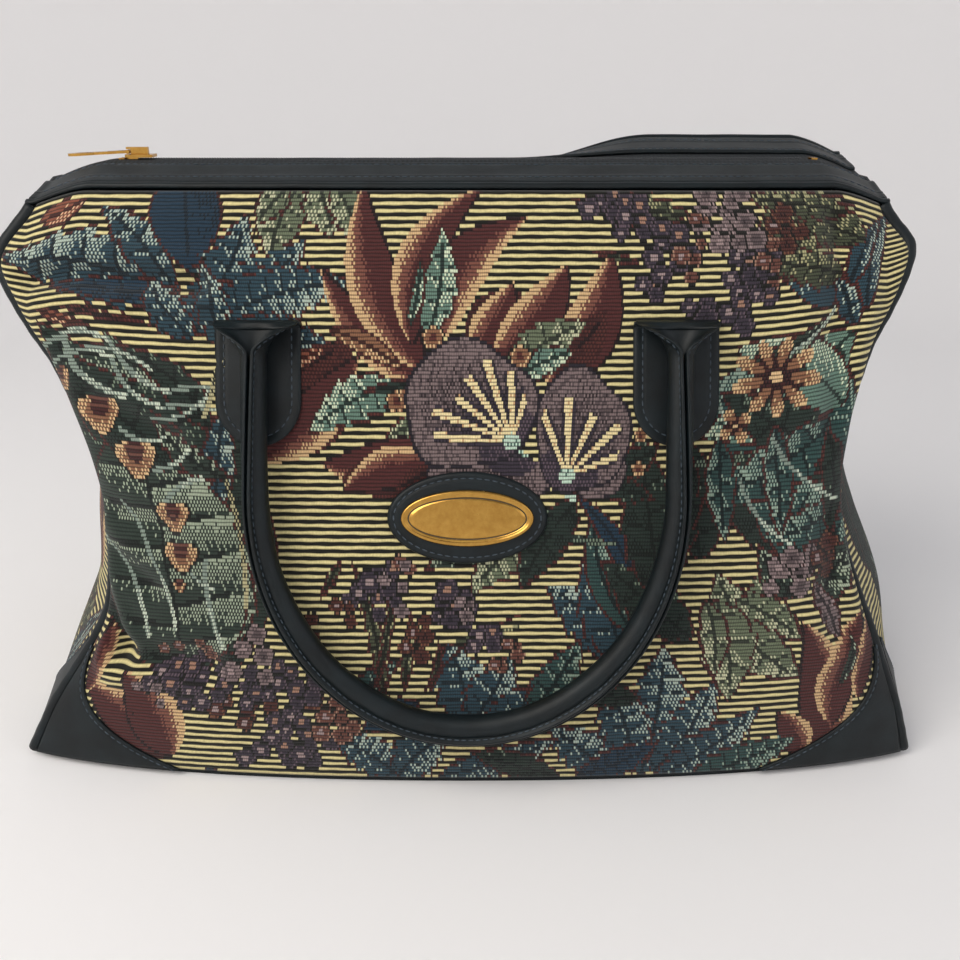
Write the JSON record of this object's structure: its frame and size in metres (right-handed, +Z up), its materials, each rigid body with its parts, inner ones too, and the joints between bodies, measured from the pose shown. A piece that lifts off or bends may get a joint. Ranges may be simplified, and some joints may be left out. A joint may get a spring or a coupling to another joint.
{
  "type": "carpet bag",
  "caption": "Soft tapestry travel bag with a wide base, flared top corners, vinyl trim, a zip along the top and a pair of rolled handles.",
  "frame": {"origin": "on the floor under the middle of the base", "axes": "+Z up, +X along the zip towards the side away from the slider's rest, -Y towards the front with the badge"},
  "size_m": [0.4744, 0.2826, 0.2974],
  "materials": {
    "tapestry": "matte",
    "vinyl": "satin",
    "zip_tape": "matte",
    "zip_coil": "satin",
    "gold_metal": "polished",
    "board": "matte",
    "cord": "matte"
  },
  "bodies": {
    "bag": {"front_panel": "tapestry", "back_panel": "tapestry", "left_gusset": "tapestry", "right_gusset": "tapestry", "base_panel": "vinyl", "base_board": "board", "front_left_patch": "vinyl", "front_right_patch": "vinyl", "back_left_patch": "vinyl", "back_right_patch": "vinyl", "left_front_patch": "vinyl", "left_back_patch": "vinyl", "right_front_patch": "vinyl", "right_back_patch": "vinyl", "front_left_piping": "vinyl", "front_right_piping": "vinyl", "back_left_piping": "vinyl", "back_right_piping": "vinyl", "front_zip_band": "vinyl", "back_zip_band": "vinyl", "front_zip_tape": "zip_tape", "back_zip_tape": "zip_tape", "front_zip_teeth": "zip_coil", "back_zip_teeth": "zip_coil", "zip_end_stops": "gold_metal", "front_left_tab": "vinyl", "front_right_tab": "vinyl", "back_left_tab": "vinyl", "back_right_tab": "vinyl", "badge_patch": "vinyl", "badge_plate": "gold_metal"},
    "front_handle": {"front_handle_grip": "vinyl", "front_handle_cord": "cord"},
    "back_handle": {"back_handle_grip": "vinyl", "back_handle_cord": "cord"},
    "zip_slider": {"zip_slider": "gold_metal"},
    "zip_pull": {"zip_pull": "gold_metal"}
  },
  "joints": [
    {"name": "front_handle_swing", "type": "hinge", "parent": "bag", "child": "front_handle", "pos_m": [0, -0.07442, 0.2246], "axis": [-1, 0, 0], "range_deg": [0, 125]},
    {"name": "back_handle_swing", "type": "hinge", "parent": "bag", "child": "back_handle", "pos_m": [0, 0.07442, 0.2246], "axis": [1, 0, 0], "range_deg": [0, 125]},
    {"name": "zip_slide", "type": "slide", "parent": "bag", "child": "zip_slider", "axis": [1, 0, 0], "range_m": [0, 0.3316], "deforming": ["front_zip_teeth", "back_zip_teeth"]},
    {"name": "zip_pull_swing", "type": "hinge", "parent": "zip_slider", "child": "zip_pull", "pos_m": [-0.17163, 0, 0.29523], "axis": [0, 1, 0], "range_deg": [0, 180]}
  ]
}
